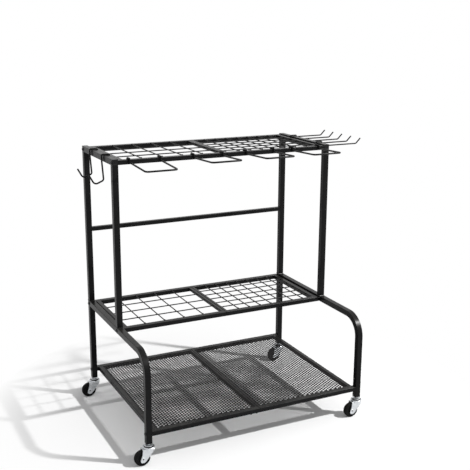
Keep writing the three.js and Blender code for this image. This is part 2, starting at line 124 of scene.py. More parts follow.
def close():
    """Ends the editing of the active piece."""
    bpy.ops.object.mode_set(mode="OBJECT")


def start_fresh():
    if bpy.context.object is not None and bpy.context.object.mode != "OBJECT":
        close()
    bpy.ops.object.select_all(action="DESELECT")
    bpy.context.tool_settings.mesh_select_mode = (True, False, False)


def only(piece):
    """Selects one piece alone."""
    start_fresh()
    piece.select_set(True)
    bpy.context.view_layer.objects.active = piece


def settle():
    """Puts the active object's place, turn and size into its mesh."""
    close()
    bpy.ops.object.transform_apply(location=True, rotation=True, scale=True)
    return bpy.context.object


def choose(piece, kind, passes=lambda item: True):
    """Selects just the points, edges or faces that pass a test, and opens the piece for editing."""
    close()
    mesh = piece.data
    for group in (mesh.vertices, mesh.edges, mesh.polygons):
        group.foreach_set("select", [False] * len(group))
    for item in {"points": mesh.vertices, "edges": mesh.edges, "faces": mesh.polygons}[kind]:
        item.select = bool(passes(item))
    modes = tuple(kind == name for name in ("points", "edges", "faces"))
    bpy.context.tool_settings.mesh_select_mode = modes
    bpy.ops.object.mode_set(mode="EDIT")


def pull(step):
    """Pulls out the selection by one step."""
    bpy.ops.mesh.extrude_region_move(TRANSFORM_OT_translate={"value": step})


def merge_points(distance):
    """Merges the selected points that lie closer together than a distance."""
    bpy.ops.mesh.remove_doubles(threshold=distance / 1000)


def modified(piece, kind, **settings):
    """Changes a piece by one modifier and makes the change part of its mesh."""
    only(piece)
    modifier = piece.modifiers.new(kind.title(), kind)
    for name, value in settings.items():
        setattr(modifier, name, value)
    bpy.ops.object.modifier_apply(modifier=modifier.name)
    return piece


def joined(pieces):
    only(pieces[0])
    for piece in pieces[1:]:
        piece.select_set(True)
    bpy.ops.object.join()
    return bpy.context.object


def facing_out(piece):
    only(piece)
    open_all()
    bpy.ops.mesh.normals_make_consistent(inside=False)
    close()
    return piece


def smoothed(piece, degrees=32):
    only(piece)
    bpy.ops.object.shade_smooth_by_angle(angle=math.radians(degrees))
    return piece


def flat_sided(piece):
    """Smooths the rounded edges of tubes and bars, and keeps their flat sides flat."""
    return modified(smoothed(piece), "WEIGHTED_NORMAL", weight=50, keep_sharp=True)


def copied(piece, name, shift):
    only(piece)
    bpy.ops.object.duplicate(linked=False)
    bpy.context.object.name = name
    bpy.ops.transform.translate(value=mm(*shift))
    return settle()


def block(low, high, rounding, segments=4):
    """A bar or plate between two corners, with rounded edges."""
    start_fresh()
    low, high = Vector(low), Vector(high)
    middle = (low + high) / 2
    bpy.ops.mesh.primitive_cube_add(size=1, location=at(*middle), scale=mm(*(high - low)))
    return modified(settle(), "BEVEL", width=rounding / 1000, segments=segments)


def turn_to(direction):
    """The turn that brings a flat shape to face a direction."""
    return Vector((0, 0, 1)).rotation_difference(direction).to_euler()


def turned(start, direction, profile, sides, bore=False):
    """A turned form: rings of a radius at each distance along a direction."""
    start_fresh()
    direction = Vector(direction).normalized()
    distance, radius = profile[0]
    bpy.ops.mesh.primitive_circle_add(
        vertices=sides,
        radius=radius / 1000,
        fill_type="NOTHING" if bore else "NGON",
        location=at(*start) + direction * distance / 1000,
        rotation=turn_to(direction),
    )
    piece = settle()
    open_all()
    for next_distance, next_radius in profile[1:]:
        pull(direction * (next_distance - distance) / 1000)
        bpy.ops.transform.resize(value=[next_radius / radius] * 3)
        distance, radius = next_distance, next_radius
    if bore:
        close()
        last_ring = len(piece.data.vertices) - sides

        def on_end_ring(edge):
            ends = edge.vertices
            return all(v < sides for v in ends) or all(v >= last_ring for v in ends)

        choose(piece, "edges", on_end_ring)
        bpy.ops.mesh.bridge_edge_loops()
    bpy.ops.mesh.select_all(action="SELECT")
    bpy.ops.mesh.normals_make_consistent(inside=False)
    close()
    return piece


def round_section(place, direction, radius, sides):
    bpy.ops.mesh.primitive_circle_add(
        vertices=sides, radius=radius / 1000, location=place, rotation=turn_to(direction)
    )
    return settle()


def square_section(place, direction, side, rounding):
    bpy.ops.mesh.primitive_plane_add(size=side / 1000, location=place, rotation=turn_to(direction))
    piece = settle()
    open_all()
    bpy.ops.mesh.bevel(offset=rounding / 1000, segments=3, affect="VERTICES")
    bpy.ops.mesh.select_all(action="SELECT")
    bpy.ops.mesh.delete(type="ONLY_FACE")
    close()
    return piece


def bent(section, corners, radii, steps=6):
    """Pulls a section along straight runs and turns it round the bends between them."""
    start_fresh()
    points = [at(*corner) for corner in corners]
    headings = [(b - a).normalized() for a, b in zip(points, points[1:])]
    piece = section(points[0], headings[0])
    around = len(piece.data.vertices)
    bpy.context.tool_settings.mesh_select_mode = (True, False, False)
    open_all()
    here = points[0]
    for corner, arriving, leaving, radius in zip(points[1:-1], headings, headings[1:], radii):
        angle = arriving.angle(leaving)
        axis = arriving.cross(leaving).normalized()
        run_in = radius / 1000 * math.tan(angle / 2)
        begin = corner - arriving * run_in
        centre = begin + axis.cross(arriving) * radius / 1000
        if (begin - here).length > 1e-6:
            pull(begin - here)
        bpy.ops.mesh.spin(steps=steps, angle=angle, center=centre, axis=-axis)
        here = corner + leaving * run_in
    pull(points[-1] - here)
    close()
    return piece, around, headings


def rod(corners, radii, diameter, sides=14):
    """A bent rod with rounded ends."""
    radius = diameter / 2
    ends = [Vector(corners[0]), Vector(corners[-1])]
    first = (Vector(corners[1]) - ends[0]).normalized()
    last = (ends[1] - Vector(corners[-2])).normalized()
    round_end = radius * 0.8
    path = [ends[0] + first * round_end] + list(corners[1:-1]) + [ends[1] - last * round_end]

    def section(place, way):
        return round_section(place, way, radius, sides)

    piece, around, headings = bent(section, path, radii)
    count = len(piece.data.vertices)
    for way, ring in ((-headings[0], range(around)), (headings[-1], range(count - around, count))):
        choose(piece, "points", lambda v: v.index in ring)
        for run, share in ((0.45, 0.88), (0.25, 0.7), (0.1, 0.5)):
            pull(way * run * radius / 1000)
            bpy.ops.transform.resize(value=[share] * 3)
        bpy.ops.mesh.edge_face_add()
        close()
    return facing_out(piece)


# Shader groups


def add_node(tree, kind, inputs=None, **settings):
    made = tree.nodes.new(kind)
    for name, value in settings.items():
        setattr(made, name, value)
    for name, value in (inputs or {}).items():
        if isinstance(value, bpy.types.NodeSocket):
            tree.links.new(value, made.inputs[name])
        else:
            made.inputs[name].default_value = value
    return made


def new_group(name, inputs, outputs):
    group = bpy.data.node_groups.new(name, "ShaderNodeTree")
    for socket, kind, value in inputs:
        made = group.interface.new_socket(name=socket, in_out="INPUT", socket_type=kind)
        made.default_value = value
    for socket, kind in outputs:
        group.interface.new_socket(name=socket, in_out="OUTPUT", socket_type=kind)
    return group, group.nodes.new("NodeGroupInput"), group.nodes.new("NodeGroupOutput")


def math_node(tree, operation, a, b, clamp=False):
    made = add_node(tree, "ShaderNodeMath", {0: a, 1: b}, operation=operation, use_clamp=clamp)
    return made.outputs[0]


def object_noise(tree, scale, detail, roughness):
    place = tree.nodes.new("ShaderNodeTexCoord").outputs["Object"]
    return add_node(
        tree, "ShaderNodeTexNoise",
        {"Vector": place, "Scale": scale, "Detail": detail, "Roughness": roughness},
    ).outputs["Fac"]


def between(tree, value, low, high, to_low=0.0, to_high=1.0):
    return add_node(
        tree, "ShaderNodeMapRange",
        {"Value": value, "From Min": low, "From Max": high, "To Min": to_low, "To Max": to_high},
    ).outputs["Result"]


def mixed_colour(tree, factor, *colours):
    """Mixes two colours, each given as a socket or as red, green and blue."""
    a, b = (c if isinstance(c, bpy.types.NodeSocket) else (*c, 1) for c in colours)
    return add_node(tree, "ShaderNodeMix", {0: factor, 6: a, 7: b}, data_type="RGBA").outputs[2]


def seen_by_eye(tree):
    """1 where a ray comes from the camera or by a mirror or glass, 0 where it only brings light."""
    sight = tree.nodes.new("ShaderNodeLightPath").outputs
    seen = math_node(tree, "MAXIMUM", sight["Is Camera Ray"], sight["Is Glossy Ray"])
    return math_node(tree, "MAXIMUM", seen, sight["Is Transmission Ray"])


FLOAT = "NodeSocketFloat"


def make_mottle_group():
    """Slow and fine unevenness of a sprayed or plated finish."""
    group, given, result = new_group(
        "finish_mottle",
        [("Cloud Scale", FLOAT, 14.0), ("Grain Scale", FLOAT, 700.0), ("Grain Share", FLOAT, 0.4)],
        [("Shade", FLOAT), ("Height", FLOAT)],
    )
    cloud = object_noise(group, given.outputs["Cloud Scale"], 4.0, 0.6)
    grain = object_noise(group, given.outputs["Grain Scale"], 2.0, 0.5)
    parts = {0: given.outputs["Grain Share"], 2: cloud, 3: grain}
    mixed = add_node(group, "ShaderNodeMix", parts, data_type="FLOAT").outputs[0]
    group.links.new(between(group, mixed, 0.3, 0.7), result.inputs["Shade"])
    group.links.new(grain, result.inputs["Height"])
    return group


def make_edge_group():
    """Where the finish is rubbed thin along the edges."""
    group, given, result = new_group(
        "rubbed_edges",
        [("Width", FLOAT, 0.0012), ("Amount", FLOAT, 1.0), ("Patch Scale", FLOAT, 60.0)],
        [("Mask", FLOAT)],
    )
    rounded = add_node(group, "ShaderNodeBevel", {"Radius": given.outputs["Width"]}, samples=6)
    plain = group.nodes.new("ShaderNodeNewGeometry")
    normals = {0: rounded.outputs["Normal"], 1: plain.outputs["Normal"]}
    product = add_node(group, "ShaderNodeVectorMath", normals, operation="DOT_PRODUCT")
    agreement = product.outputs["Value"]
    edge = between(group, math_node(group, "SUBTRACT", 1.0, agreement), 0.015, 0.16)
    patch = between(group, object_noise(group, given.outputs["Patch Scale"], 5.0, 0.65), 0.47, 0.66)
    worn = math_node(group, "MULTIPLY", edge, patch)
    worn = math_node(group, "MULTIPLY", worn, given.outputs["Amount"], clamp=True)
    group.links.new(worn, result.inputs["Mask"])
    return group


def make_dust_group():
    """Dust that settles on faces that look up."""
    group, given, result = new_group(
        "settled_dust", [("Amount", FLOAT, 0.2), ("Patch Scale", FLOAT, 18.0)], [("Mask", FLOAT)]
    )
    normal = group.nodes.new("ShaderNodeNewGeometry").outputs["Normal"]
    up = add_node(group, "ShaderNodeSeparateXYZ", {0: normal}).outputs["Z"]
    lying = between(group, up, 0.35, 0.95)
    patch = between(group, object_noise(group, given.outputs["Patch Scale"], 6.0, 0.7), 0.35, 0.72)
    fallen = math_node(group, "MULTIPLY", lying, patch)
    fallen = math_node(group, "MULTIPLY", fallen, given.outputs["Amount"], clamp=True)
    group.links.new(fallen, result.inputs["Mask"])
    return group


mottle_group = make_mottle_group()
edge_group = make_edge_group()
dust_group = make_dust_group()


dust_colour = (0.3, 0.28, 0.25)
dust_dulling = 0.35


def finish(name, dark, light, roughness, mottle, bump, edge=None, edge_colour=None, dust=None,
           metallic=0.0, worn_metallic=None, **shader_values):
    """A sprayed, plated or moulded finish, made from the shared groups.

    The colour and the roughness run between two values, bump is a strength and a height in metres,
    and mottle, edge and dust are the values of the groups' inputs.
    """
    material = bpy.data.materials.new(name)
    material.use_nodes = True
    tree = material.node_tree
    shader = tree.nodes["Principled BSDF"]
    base = add_node(tree, "ShaderNodeGroup", mottle, node_tree=mottle_group)
    colour = mixed_colour(tree, base.outputs["Shade"], dark, light)
    rough = between(tree, base.outputs["Shade"], 0.0, 1.0, *roughness)
    shader.inputs["Metallic"].default_value = metallic
    if edge:
        worn = add_node(tree, "ShaderNodeGroup", edge, node_tree=edge_group).outputs["Mask"]
        colour = mixed_colour(tree, worn, colour, edge_colour)
        if worn_metallic is not None:
            bare = between(tree, worn, 0.0, 1.0, metallic, worn_metallic)
            tree.links.new(bare, shader.inputs["Metallic"])
    if dust:
        fallen = add_node(tree, "ShaderNodeGroup", dust, node_tree=dust_group).outputs["Mask"]
        colour = mixed_colour(tree, fallen, colour, dust_colour)
        dulled = math_node(tree, "MULTIPLY", fallen, dust_dulling)
        rough = math_node(tree, "ADD", rough, dulled, clamp=True)
    strength, height = bump
    relief = add_node(
        tree, "ShaderNodeBump",
        {"Strength": strength, "Distance": height, "Height": base.outputs["Height"]},
    )
    tree.links.new(colour, shader.inputs["Base Color"])
    tree.links.new(rough, shader.inputs["Roughness"])
    tree.links.new(relief.outputs["Normal"], shader.inputs["Normal"])
    for socket, value in shader_values.items():
        shader.inputs[socket.replace("_", " ")].default_value = value
    return material


def mottled(cloud, grain, share):
    return {"Cloud Scale": cloud, "Grain Scale": grain, "Grain Share": share}


def rubbed(width, amount, patches):
    return {"Width": width, "Amount": amount, "Patch Scale": patches}


def dusty(amount, patches):
    return {"Amount": amount, "Patch Scale": patches}


# The finish of each slot. Colours are red, green and blue from 0 to 1.
MATERIALS = {
    "black_coat": finish(
        "black_powder_coat", (0.0035, 0.0035, 0.0037), (0.0085, 0.0085, 0.0088), (0.22, 0.32),
        mottled(9.0, 900.0, 0.35), (0.1, 0.00012), rubbed(0.0012, 0.3, 45.0), (0.035, 0.035, 0.036),
        dusty(0.07, 14.0), Specular_IOR_Level=0.08,
    ),
    "black_wire": finish(
        "black_wire_coat", (0.0035, 0.0035, 0.0037), (0.008, 0.008, 0.0083), (0.28, 0.4),
        mottled(22.0, 1100.0, 0.4), (0.1, 0.00012), dust=dusty(0.06, 30.0), Specular_IOR_Level=0.08,
    ),
    "black_rod": finish(
        "black_dipped_rod", (0.003, 0.003, 0.0031), (0.007, 0.007, 0.0072), (0.26, 0.38),
        mottled(26.0, 800.0, 0.3), (0.1, 0.00012), dust=dusty(0.04, 30.0), Specular_IOR_Level=0.08,
    ),
    "perforated_steel": finish(
        "coated_perforated_steel", (0.0035, 0.0035, 0.0038), (0.0085, 0.0085, 0.009), (0.4, 0.54),
        mottled(7.0, 1000.0, 0.4), (0.16, 0.0002), dust=dusty(0.06, 9.0), Specular_IOR_Level=0.03,
    ),
    "black_bolt": finish(
        "blackened_bolt", (0.012, 0.012, 0.013), (0.03, 0.03, 0.032), (0.26, 0.4),
        mottled(80.0, 1500.0, 0.5), (0.12, 0.0001), rubbed(0.0005, 0.7, 300.0), (0.2, 0.2, 0.21),
        metallic=0.4, worn_metallic=0.9,
    ),
    "zinc_plate": finish(
        "bright_zinc_plate", (0.5, 0.52, 0.54), (0.72, 0.74, 0.76), (0.2, 0.36),
        mottled(60.0, 1400.0, 0.45), (0.1, 0.0001), rubbed(0.0006, 0.6, 240.0), (0.86, 0.87, 0.88),
        dusty(0.2, 60.0), metallic=1.0,
    ),
    "wheel_rubber": finish(
        "wheel_rubber", (0.003, 0.003, 0.0031), (0.007, 0.007, 0.0072), (0.42, 0.6),
        mottled(45.0, 1200.0, 0.45), (0.22, 0.0003), rubbed(0.0015, 0.4, 110.0), (0.04, 0.038, 0.036),
        dusty(0.05, 70.0), Specular_IOR_Level=0.06,
    ),
}
cap_plastic = finish(
    "black_cap_plastic", (0.005, 0.005, 0.0053), (0.01, 0.01, 0.0105), (0.45, 0.58),
    mottled(50.0, 1300.0, 0.6), (0.2, 0.0002), Specular_IOR_Level=0.12,
)


def placed(piece, name, body, slot, replaces=(), material=None):
    """Names a finished piece, gives it its finish and lets it ride on its body."""
    piece.name = name
    piece.data.name = name
    piece.data.materials.clear()
    piece.data.materials.append(material or MATERIALS[slot])
    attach(piece, body)
    if replaces:
        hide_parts(*replaces)
    return piece


# Side frames


def weld_skirt(x, y, z):
    """The weld round the foot of an upright tube."""
    start_fresh()
    reach, height = 1.3, 1.6
    corner = math.sqrt(2) / 2
    bpy.ops.mesh.primitive_cone_add(
        vertices=4, radius1=(tube + 2 * reach) * corner / 1000, radius2=(tube + 0.1) * corner / 1000,
        depth=height / 1000, location=at(x, y, z + height / 2), rotation=(0, 0, math.radians(45)),
    )
    return modified(settle(), "BEVEL", width=fine_edge / 1000, segments=2)


def upright(x, y, low, high):
    low_corner = (x - half_tube, y - half_tube, low)
    high_corner = (x + half_tube, y + half_tube, high)
    return block(low_corner, high_corner, tube_rounding)


def build_side_frames():
    back = -half_tube
    front = -upper_depth + half_tube
    shaft = upright(-side_centre, front, middle_top, rack_top - tube)
    post = flat_sided(joined([shaft, weld_skirt(-side_centre, front, middle_top)]))
    for side_name, side in SIDES:
        x = side * side_centre
        for place, y in (("front", front), ("back", back)):
            node = f"{side_name}_{place}_post"
            twin = copied(post, node, (x + side_centre, y - front, 0))
            placed(twin, f"{node}_tube", "rack", "black_coat", [node])
        leg = flat_sided(upright(x, back, leg_foot, middle_top - tube))
        placed(leg, f"{side_name}_back_leg_tube", "rack", "black_coat", [f"{side_name}_back_leg"])
        rail_low = (x - half_tube, -upper_depth + cap_lip, rack_top - tube)
        rail_high = (x + half_tube, -cap_lip, rack_top)
        rail = flat_sided(block(rail_low, rail_high, tube_rounding))
        placed(rail, f"{side_name}_top_rail_tube", "rack", "black_coat", [f"{side_name}_top_rail"])
        build_side_tube(side_name, x)
        ends = (("top_front", -upper_depth, -1, rack_top), ("top_back", 0, 1, rack_top),
                ("lower_back", 0, 1, middle_top))
        for place, y, way, top in ends:
            cap = end_cap(x, y, way, top - half_tube)
            placed(cap, f"{side_name}_{place}_end_cap", "rack", "black_coat", material=cap_plastic)
    bpy.data.objects.remove(post)
    cross_low = (-side_inner, cross_rail_back - bar, cross_rail_top - bar)
    cross_high = (side_inner, cross_rail_back, cross_rail_top)
    cross = flat_sided(block(cross_low, cross_high, cross_rail_rounding))
    placed(cross, "back_cross_rail_tube", "rack", "black_coat", ["back_cross_rail"])


def end_cap(x, y, way, z):
    """A moulded cap that closes the end of a square tube, with a rim and a sunk middle."""
    inside = y - way * cap_thickness
    low = (x - half_tube, min(y, inside), z - half_tube)
    high = (x + half_tube, max(y, inside), z + half_tube)
    cap = block(low, high, 0.7, 3)
    choose(cap, "faces", lambda f: f.normal.y * way > 0.9 and f.area > 1e-4)
    rim, slope, sunk = 2.8, 0.6, 0.4
    bpy.ops.mesh.inset(thickness=rim / 1000, depth=0)
    bpy.ops.mesh.inset(thickness=slope / 1000, depth=-sunk / 1000)
    close()
    return smoothed(cap)


def build_side_tube(side_name, x):
    """The bent tube that runs forward from the back leg and down into the front leg."""
    z = middle_top - half_tube
    front = -lower_depth + half_tube
    corners = [(x, -cap_lip, z), (x, front, z), (x, front, leg_foot)]

    def section(place, way):
        return square_section(place, way, tube, 1.4)

    piece = facing_out(bent(section, corners, [side_bend], steps=16)[0])
    modified(piece, "SOLIDIFY", thickness=tube_wall / 1000, offset=-1)
    name = f"{side_name}_bent_side_tube"
    placed(flat_sided(piece), name, "rack", "black_coat", [f"{side_name}_side_tube"])


# Shelves


def spanning(side, near, far):
    """A run along the width between two distances from the middle, on one side of it."""
    return (near, far) if side > 0 else (-far, -near)


def weld_bead(start, end):
    """A short welded seam: a row of overlapping drops."""
    start, end = Vector(start), Vector(end)
    width, drop_length = 2.2, 1.6
    length = (end - start).length
    drops = max(3, round(length / drop_length))
    profile = [(0, width * 0.2)]
    for i in range(drops):
        profile.append((length * (i + 0.35) / drops, width * 0.5))
        profile.append((length * (i + 0.95) / drops, width * 0.4))
    profile.append((length, width * 0.15))
    return turned(start, end - start, profile, 8)


def build_shelf_frame(level, side_name, side, node):
    """Two rails along the width, an outer bar and a centre bar, with weld beads where they meet."""
    top = shelf_tops[level]
    floor = top - bar
    front = -shelf_depths[level]
    centre_width, centre_height = centre_bars[level]
    outer_face = frame_outer - bar
    inner_face = centre_gap + centre_width
    low, high = spanning(side, centre_gap, side_inner - frame_gap)
    outer_low, outer_high = spanning(side, outer_face, frame_outer)
    inner_low, inner_high = spanning(side, centre_gap, inner_face)
    bar_front = front + rail_depth - bar_overlap
    bar_back = -rail_depth + bar_overlap
    bars = [
        block((low, front, floor), (high, front + rail_depth, top), bar_rounding),
        block((low, -rail_depth, floor), (high, 0, top), bar_rounding),
        block((outer_low, bar_front, floor), (outer_high, bar_back, top), bar_rounding),
        block(
            (inner_low, bar_front, top - centre_height), (inner_high, bar_back, top), centre_rounding
        ),
    ]
    bead_inset = 1.5
    for face, deep in ((outer_face, bar), (inner_face, centre_height)):
        for y in (front + rail_depth, -rail_depth):
            x = side * face
            bars.append(weld_bead((x, y, top - deep + bead_inset), (x, y, top - bead_inset)))
    piece = flat_sided(joined(bars))
    placed(piece, f"{level}_{side_name}_welded_frame", "rack", "black_coat", [node])


def wire(start, end):
    """A grid wire with small welds at its ends."""
    start, end = Vector(start), Vector(end)
    length = (end - start).length
    radius = wire_diameter / 2
    profile = [(0, radius * 1.75), (0.7, radius * 1.45), (1.6, radius * 1.1), (3, radius)]
    profile += [(length - d, r) for d, r in reversed(profile)]
    return turned(start, end - start, profile, 12)


def weld_nugget(x, y, z):
    """The flattened drop of weld where two wires cross."""
    start_fresh()
    bpy.ops.mesh.primitive_uv_sphere_add(
        segments=10, ring_count=6, radius=0.0029, location=at(x, y, z), scale=(1, 1, 0.55)
    )
    return settle()


def build_grid(level, side_name, side, pitch, rows):
    """Wires from front to back over wires along the width, welded where they cross."""
    near = centre_gap + centre_bars[level][0]
    far = frame_outer - bar
    upper = shelf_tops[level] - wire_drop
    lower = upper - wire_diameter + wire_overlap
    columns = int((far - near - pitch / 2) // pitch)
    xs = [side * (near + pitch * i) for i in range(1, columns + 1)]
    ys = [-rail_depth + (grid_front + rail_depth) * i / rows for i in range(1, rows)]
    run = wire((xs[0], grid_front, upper), (xs[0], -rail_depth, upper))
    pieces = [run] + [copied(run, "wire", (x - xs[0], 0, 0)) for x in xs[1:]]
    left, right = spanning(side, near, far)
    cross = wire((left, ys[0], lower), (right, ys[0], lower))
    pieces += [cross] + [copied(cross, "wire", (0, y - ys[0], 0)) for y in ys[1:]]
    nugget = weld_nugget(xs[0], ys[0], upper - nugget_drop)
    crossings = [(x - xs[0], y - ys[0], 0) for x in xs for y in ys]
    pieces += [nugget] + [copied(nugget, "nugget", shift) for shift in crossings[1:]]
    piece = smoothed(joined(pieces), 45)
    name = f"{level}_{side_name}_welded_wires"
    placed(piece, name, "rack", "black_wire", [f"{level}_{side_name}_grid_wires"])


def perforated_field(first, columns, rows):
    """A staggered field of round holes, from one six-sided cell about the first hole."""
    start_fresh()
    corner = hole_pitch / math.sqrt(3)
    bpy.ops.mesh.primitive_circle_add(
        vertices=6, radius=corner / 1000, fill_type="NGON", location=at(*first),
        rotation=(0, 0, math.radians(30)),
    )
    piece = settle()
    open_all()
    bpy.ops.transform.resize(value=(column_pitch / corner / 1.5, 1, 1))
    bpy.ops.mesh.subdivide(number_cuts=1)
    choose(piece, "faces")
    # The inner ring of the inset becomes round and as wide as a hole.
    bpy.ops.mesh.inset(thickness=(hole_pitch * 0.48 - hole_diameter / 2.155) / 1000)
    bpy.ops.transform.tosphere(value=1)
    choose(piece, "faces", lambda f: len(f.vertices) == 12)
    bpy.ops.mesh.delete(type="FACE")
    close()
    for count, offset in (
        (2, (column_pitch, hole_pitch / 2, 0)),
        (columns // 2, (2 * column_pitch, 0, 0)),
        (rows, (0, hole_pitch, 0)),
    ):
        modified(
            piece, "ARRAY", count=count, use_relative_offset=False, use_constant_offset=True,
            constant_offset_displace=mm(*offset), use_merge_vertices=True,
            merge_threshold=same_point / 1000,
        )
    open_all()
    merge_points(same_point)
    return piece


def reach_edge(piece, axis, inside, edge):
    """Pulls the zigzag border of the field out to one straight edge of the sheet."""
    close()
    faces_on = Counter(key for face in piece.data.polygons for key in face.edge_keys)
    way = 1 if edge > inside else -1
    longest_rim_edge = 0.0024

    def on_border(e):
        a, b = (piece.data.vertices[i].co for i in e.vertices)
        beyond = ((a[axis] + b[axis]) / 2 - inside) * way > 0
        runs_along = abs(a[1 - axis] - b[1 - axis]) > 1e-6
        outside_holes = (a - b).length > longest_rim_edge
        return beyond and runs_along and outside_holes and faces_on[e.key] == 1

    choose(piece, "edges", on_border)
    step, flat = [0, 0, 0], [1, 1, 1]
    step[axis] = way * 0.001
    flat[axis] = 0
    pull(step)
    bpy.ops.transform.resize(value=flat, center_override=(edge, edge, 0))


def build_perforated_sheet(side_name, side):
    """A sheet with as many whole columns and rows of holes as fit inside its frame."""
    near = centre_gap + centre_bars["lower"][0] + sheet_gap
    left, right = spanning(side, near, frame_outer - bar - sheet_gap)
    front = -lower_depth + rail_depth + sheet_gap
    back = -rail_depth - sheet_gap
    z = shelf_tops["lower"] - sheet_drop
    side_margins, end_margins = 15, 8
    columns = int((right - left - side_margins) / column_pitch / 2) * 2 + 2
    rows = int((back - front - end_margins) / hole_pitch)
    across = (columns - 1) * column_pitch
    along = (rows - 0.5) * hole_pitch
    first = ((left + right - across) / 2, (front + back - along) / 2, z)
    piece = perforated_field(first, columns, rows)
    low, high = at(left, front, z), at(right, back, z)
    first_hole, last_hole = at(*first), at(first[0] + across, first[1] + along, z)
    # The border is sought from this far past the middles of the outer holes, in metres.
    for axis, past in ((0, 0.002), (1, -0.001)):
        reach_edge(piece, axis, first_hole[axis] - past, low[axis])
        reach_edge(piece, axis, last_hole[axis] + past, high[axis])
    bpy.ops.mesh.select_all(action="SELECT")
    merge_points(same_point)
    bpy.ops.mesh.normals_make_consistent(inside=False)
    close()
    if sum(f.normal.z * f.area for f in piece.data.polygons) < 0:
        choose(piece, "faces")
        bpy.ops.mesh.flip_normals()
        close()
    modified(piece, "SOLIDIFY", thickness=sheet_thickness / 1000, offset=-1)
    name = f"lower_{side_name}_fine_perforated_sheet"
    node = f"lower_{side_name}_perforated_sheet"
    placed(smoothed(piece, 40), name, "rack", "perforated_steel", [node])


def build_shelves():
    grids = {"left": (72.5, 4), "right": (44.6, 6)}
    for side_name, side in SIDES:
        for level in ("top", "middle"):
            build_shelf_frame(level, side_name, side, f"{level}_{side_name}_grid_frame")
            build_grid(level, side_name, side, *grids[side_name])
        build_shelf_frame("lower", side_name, side, f"lower_{side_name}_shelf_frame")
        build_perforated_sheet(side_name, side)


# Bolts


def button_head(x, y, z, way, radius=6.0, height=3.4):
    """A button-head screw with a hexagon socket, its head facing one way along the width."""
    dome = [(height * d, radius * r) for d, r in ((0.55, 0.88), (0.8, 0.7), (0.96, 0.5), (1, 0.42))]
    profile = [(0, radius * 0.97), (0.25, radius), (0.9, radius)] + dome
    head = turned((x, y, z), (way, 0, 0), profile, 28)
    key = turned((x + way * (height - 1.8), y, z), (way, 0, 0), [(0, 2.2), (4, 2.2)], 6)
    modified(head, "BOOLEAN", operation="DIFFERENCE", object=key, solver="EXACT")
    bpy.data.objects.remove(key)
    return head


def build_frame_bolts():
    """The bolts through the side frames into the middle of each rail's end."""
    places = [
        (level, place, y, shelf_tops[level] - bar / 2)
        for level, depth in shelf_depths.items()
        for place, y in (("front", -depth + half_rail), ("back", -half_rail))
    ]
    y0, z0 = places[0][2:]
    shank_profile = [(0, 3), (33, 3), (33.6, 2.4)]
    for side_name, side in SIDES:
        head = button_head(side * (half_width + 0.05), y0, z0, side)
        shank = turned((side * (half_width + 0.5), y0, z0), (-side, 0, 0), shank_profile, 16)
        bolt = smoothed(joined([head, shank]), 38)
        for level, place, y, z in places:
            node = f"{place}_{side_name}_{level}_bolt"
            twin = copied(bolt, node, (0, y - y0, z - z0))
            placed(twin, f"{place}_{side_name}_{level}_button_bolt", "rack", "black_bolt", [node])
        bpy.data.objects.remove(bolt)


def build_seam_bolts():
    """Small bolts with nuts that hold each pair of centre bars together."""
    nut_profile = [(0, 4.2), (0.3, 4.6), (2.9, 4.6), (3.2, 4.2)]
    tip_profile = [(0, 2), (2.6, 2), (3, 1.6)]
    for level, drop, front in (("top", 5.5, -270), ("middle", 5.5, -270), ("lower", 8.5, -538)):
        width = centre_bars[level][0]
        face = width + 0.35
        z = shelf_tops[level] - drop
        for place, y in (("back", -62), ("front", front)):
            head = button_head(-face, y, z, -1, radius=4.2, height=2.4)
            nut = turned((face, y, z), (1, 0, 0), nut_profile, 6)
            tip = turned((width + 2, y, z), (1, 0, 0), tip_profile, 12)
            piece = smoothed(joined([head, nut, tip]), 38)
            placed(piece, f"{level}_{place}_seam_bolt", "rack", "black_bolt")


def build_rail_screws():
    """Two screws that come up into the lower front rail beside the seam."""
    profile = [(0, 2.6), (1.4, 2.6), (1.6, 4.2), (3.8, 4.2), (4.8, 3)]
    y = -lower_depth + 8
    z = shelf_tops["lower"] - bar + 0.5
    for place, x in (("left", -30), ("right", -9)):
        screw = turned((x, y, z), (0, 0, -1), profile, 16)
        placed(smoothed(screw, 38), f"lower_front_{place}_rail_screw", "rack", "black_bolt")


# Casters


trail = 22.8
axle_height = 26.79
crown_top = 58.5
crown_sheet = 2
crown_low, crown_high = -23.5, 17.5
crown_corner = 18.2
fork_half = 11.85
fork_bend = 3

# The side view of a fork leg, from its bend down: height, front edge and back edge.
fork_leg = ((52, -23.8, 15.4), (47, -24.4, 12), (41, -25.4, 7.4), (35, -26.9, 2.4), (29, -28.8, -2.6),
            (24.5, -30.6, -6.4), (21, -31.2, -9.3), (18, -30.8, -12), (15.4, -29, -14.8),
            (13.7, -26.8, -17.3), (12.9, -24.2, -19.8))


def on_stem(x, y, profile, sides):
    """A form turned about a caster's stem, by height and radius."""
    return turned((x, y, 0), (0, 0, 1), profile, sides)


def on_axle(x, y, profile, sides, way=1, bore=False):
    """A form turned about a caster's axle, by distance from the wheel's middle and radius."""
    return turned((x - trail, y, axle_height), (0, way, 0), profile, sides, bore)


def mirrored(half):
    """A whole profile from the half on one side of the middle."""
    return half + [(-d, r) for d, r in reversed(half)]


def press_leg(fork, x, y, way):
    """Bends one side of the crown down and pulls it out into a leg of the fork."""
    edge = at(x, y + way * (fork_half - fork_bend), crown_top - fork_bend)
    choose(fork, "faces", lambda f: f.normal.y * way > 0.9 and abs(f.center.y - edge.y) < 1e-5)
    pull((0, 0, 0))
    bpy.ops.mesh.spin(steps=5, angle=math.radians(90), center=edge, axis=(way, 0, 0))
    z, low, high = crown_top - fork_bend, crown_low, crown_high
    for next_z, next_low, next_high in fork_leg:
        pull(mm(((next_low + next_high) - (low + high)) / 2, 0, next_z - z))
        bpy.ops.transform.resize(value=((next_high - next_low) / (high - low), 1, 1))
        z, low, high = next_z, next_low, next_high
    close()


